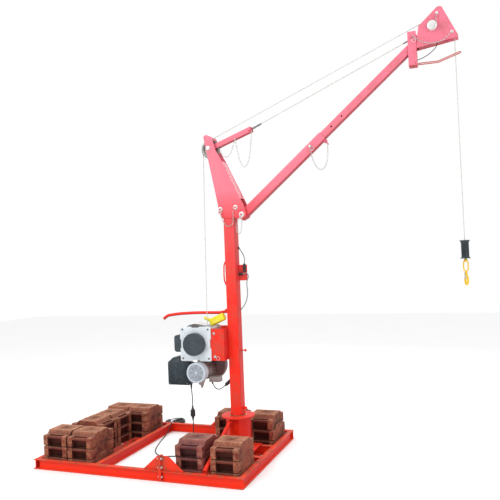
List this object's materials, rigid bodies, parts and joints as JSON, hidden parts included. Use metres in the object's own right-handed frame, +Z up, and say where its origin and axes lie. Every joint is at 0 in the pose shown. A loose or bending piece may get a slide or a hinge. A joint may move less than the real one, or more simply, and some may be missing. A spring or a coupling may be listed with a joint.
{
  "type": "counterweighted jib crane",
  "caption": "Slewing jib crane with an electric rope winch on its mast, a telescopic jib held by a stay, a swivel hook and a bolted I-beam base loaded with stacked cast weights.",
  "frame": {"origin": "on the floor, on the axis that the mast turns about, at the sole plate's underside", "axes": "+X along the jib, away from the ballast; +Z up; +Y to the side away from the winch's round cover"},
  "size_m": [3.618, 1.7077, 3.624],
  "materials": {
    "black_plastic": "matt",
    "bush_bronze": "machined",
    "cable_black": "matt",
    "cable_grey": "matt",
    "cast_iron_rust": "rough, rusted",
    "drum_steel": "dull, greased",
    "fan_rim": "satin",
    "gear_brown": "dusty satin",
    "head_red": "gloss paint",
    "hook_yellow": "worn paint",
    "motor_grey": "dusty satin",
    "plate_alloy": "as cast, mottled",
    "red_paint": "worn gloss paint",
    "red_plastic": "semi-gloss",
    "rope_steel": "stranded wire",
    "slate_plastic": "matt, grained",
    "yellow_plastic": "semi-gloss",
    "zinc": "zinc plated"
  },
  "bodies": {
    "base": {"long_beams": "red_paint", "side_beams": "red_paint", "foot_beams": "red_paint", "splice_plates": "red_paint", "splice_bolts": "zinc", "tray_rails": "red_paint", "foot_socket": "red_paint", "foot_braces": "red_paint", "foot_bush": "bush_bronze", "weights_left_front": "cast_iron_rust", "weights_left_middle": "cast_iron_rust", "weights_left_rear": "cast_iron_rust", "weights_right_front": "cast_iron_rust", "weights_right_rear": "cast_iron_rust", "supply_tail": "cable_black", "supply_coil": "cable_black", "supply_plug": "black_plastic"},
    "mast": {"mast_tube": "red_paint", "mast_spindle": "red_paint", "mast_head": "head_red", "head_pins": "zinc", "mast_lugs": "red_paint", "winch_bracket": "red_paint", "bracket_pins": "zinc", "winch_plates": "plate_alloy", "winch_covers": "black_plastic", "drum_guard": "zinc", "control_box": "slate_plastic", "motor": "motor_grey", "fan_cover": "fan_rim", "gear_case": "gear_brown", "mast_connectors": "black_plastic", "cable_upper": "cable_grey", "cable_lower": "cable_grey", "motor_lead": "cable_black", "supply_drop": "cable_black", "inline_connector": "black_plastic", "pendant_body": "yellow_plastic", "rope_riser": "rope_steel"},
    "drum": {"rope_drum": "drum_steel"},
    "fan": {"motor_fan": "black_plastic"},
    "handle": {"slewing_handle": "red_paint"},
    "link": {"link_arm": "head_red"},
    "boom": {"boom_tube": "head_red"},
    "pin": {"lock_pin": "zinc"},
    "boom_inner": {"inner_tube": "head_red", "boom_head": "head_red", "boom_head_pins": "zinc", "limit_bracket": "head_red", "limit_lead": "cable_black", "rope_span": "rope_steel", "stay_rope": "rope_steel"},
    "fork": {"trip_fork": "red_paint"},
    "sheave_mast": {"mast_sheave": "drum_steel"},
    "sheave_boom": {"boom_sheave": "drum_steel"},
    "hook_line": {"rope_fall": "rope_steel"},
    "load_weight": {"hook_weight": "motor_grey"},
    "swivel_hook": {"hook": "hook_yellow"},
    "latch": {"hook_latch": "zinc"},
    "rocker": {"pendant_rocker": "black_plastic"},
    "stop_button": {"pendant_stop": "red_plastic"}
  },
  "joints": [
    {"name": "mast_slew", "type": "hinge", "parent": "base", "child": "mast", "pos_m": [0, 0, 0.39], "axis": [0, 0, 1], "range_deg": [-170, 170]},
    {"name": "boom_luff", "type": "hinge", "parent": "mast", "child": "boom", "pos_m": [0.13, 0, 2.12], "axis": [0, -1, 0], "range_deg": [0, 15], "deforming": ["rope_span", "stay_rope"]},
    {"name": "link_swing", "type": "hinge", "parent": "mast", "child": "link", "pos_m": [-0.164, 0, 2.727], "axis": [0, -1, 0], "range_deg": [0, 15]},
    {"name": "boom_extend", "type": "slide", "parent": "boom", "child": "boom_inner", "axis": [0.7683, 0, 0.6401], "range_m": [-0.35, 0]},
    {"name": "lock_pin_pull", "type": "slide", "parent": "boom", "child": "pin", "axis": [0, -1, 0], "range_m": [0, 0.04]},
    {"name": "trip_lever", "type": "hinge", "parent": "boom_inner", "child": "fork", "pos_m": [1.63, 0, 3.21], "axis": [0, -1, 0], "range_deg": [0, 8]},
    {"name": "hook_plumb", "type": "hinge", "parent": "boom_inner", "child": "hook_line", "pos_m": [1.911, 0, 3.41], "axis": [0, -1, 0], "range_deg": [-15, 0]},
    {"name": "hook_lift", "type": "slide", "parent": "hook_line", "child": "load_weight", "axis": [0, 0, 1], "range_m": [-1.15, 1.35], "deforming": ["rope_fall"]},
    {"name": "hook_swivel", "type": "hinge", "parent": "load_weight", "child": "swivel_hook", "pos_m": [1.928, 0, 1.64], "axis": [0, 0, 1], "continuous": true},
    {"name": "hook_latch_swing", "type": "hinge", "parent": "swivel_hook", "child": "latch", "pos_m": [1.928, 0, 1.557], "axis": [-0.9367, -0.3502, 0], "range_deg": [0, 20], "stiffness_Nm_per_rad": 0.08, "springref_deg": -20.05},
    {"name": "drum_spin", "type": "hinge", "parent": "mast", "child": "drum", "pos_m": [-0.316, 0, 1.012], "axis": [0, 1, 0], "range_deg": [-872, 1025]},
    {"name": "mast_sheave_spin", "type": "hinge", "parent": "mast", "child": "sheave_mast", "pos_m": [-0.164, 0, 2.727], "axis": [0, -1, 0], "range_deg": [-872, 1025]},
    {"name": "boom_sheave_spin", "type": "hinge", "parent": "boom_inner", "child": "sheave_boom", "pos_m": [1.769, 0, 3.477], "axis": [0, -1, 0], "range_deg": [-872, 1025]},
    {"name": "fan_spin", "type": "hinge", "parent": "mast", "child": "fan", "pos_m": [-0.3, -0.15, 0.768], "axis": [0, 1, 0], "continuous": true},
    {"name": "handle_fold", "type": "hinge", "parent": "mast", "child": "handle", "pos_m": [-0.076, 0.028, 1.284], "axis": [0, 1, 0], "range_deg": [0, 85]},
    {"name": "rocker_press", "type": "hinge", "parent": "mast", "child": "rocker", "pos_m": [-0.17893, 0, 1.20184], "axis": [-0.3907, 0, 0.9205], "range_deg": [-5, 5], "stiffness_Nm_per_rad": 0.6},
    {"name": "stop_press", "type": "slide", "parent": "mast", "child": "stop_button", "axis": [0, -1, 0], "range_m": [0, 0.004], "stiffness_N_per_m": 700}
  ],
  "couplings": [
    {"joint": "link_swing", "follows": "boom_luff", "ratio": 1},
    {"joint": "hook_plumb", "follows": "boom_luff", "ratio": -1},
    {"joint": "drum_spin", "follows": "hook_lift", "rad_per_m": 13.158},
    {"joint": "mast_sheave_spin", "follows": "hook_lift", "rad_per_m": 13.158},
    {"joint": "boom_sheave_spin", "follows": "hook_lift", "rad_per_m": 13.158}
  ]
}
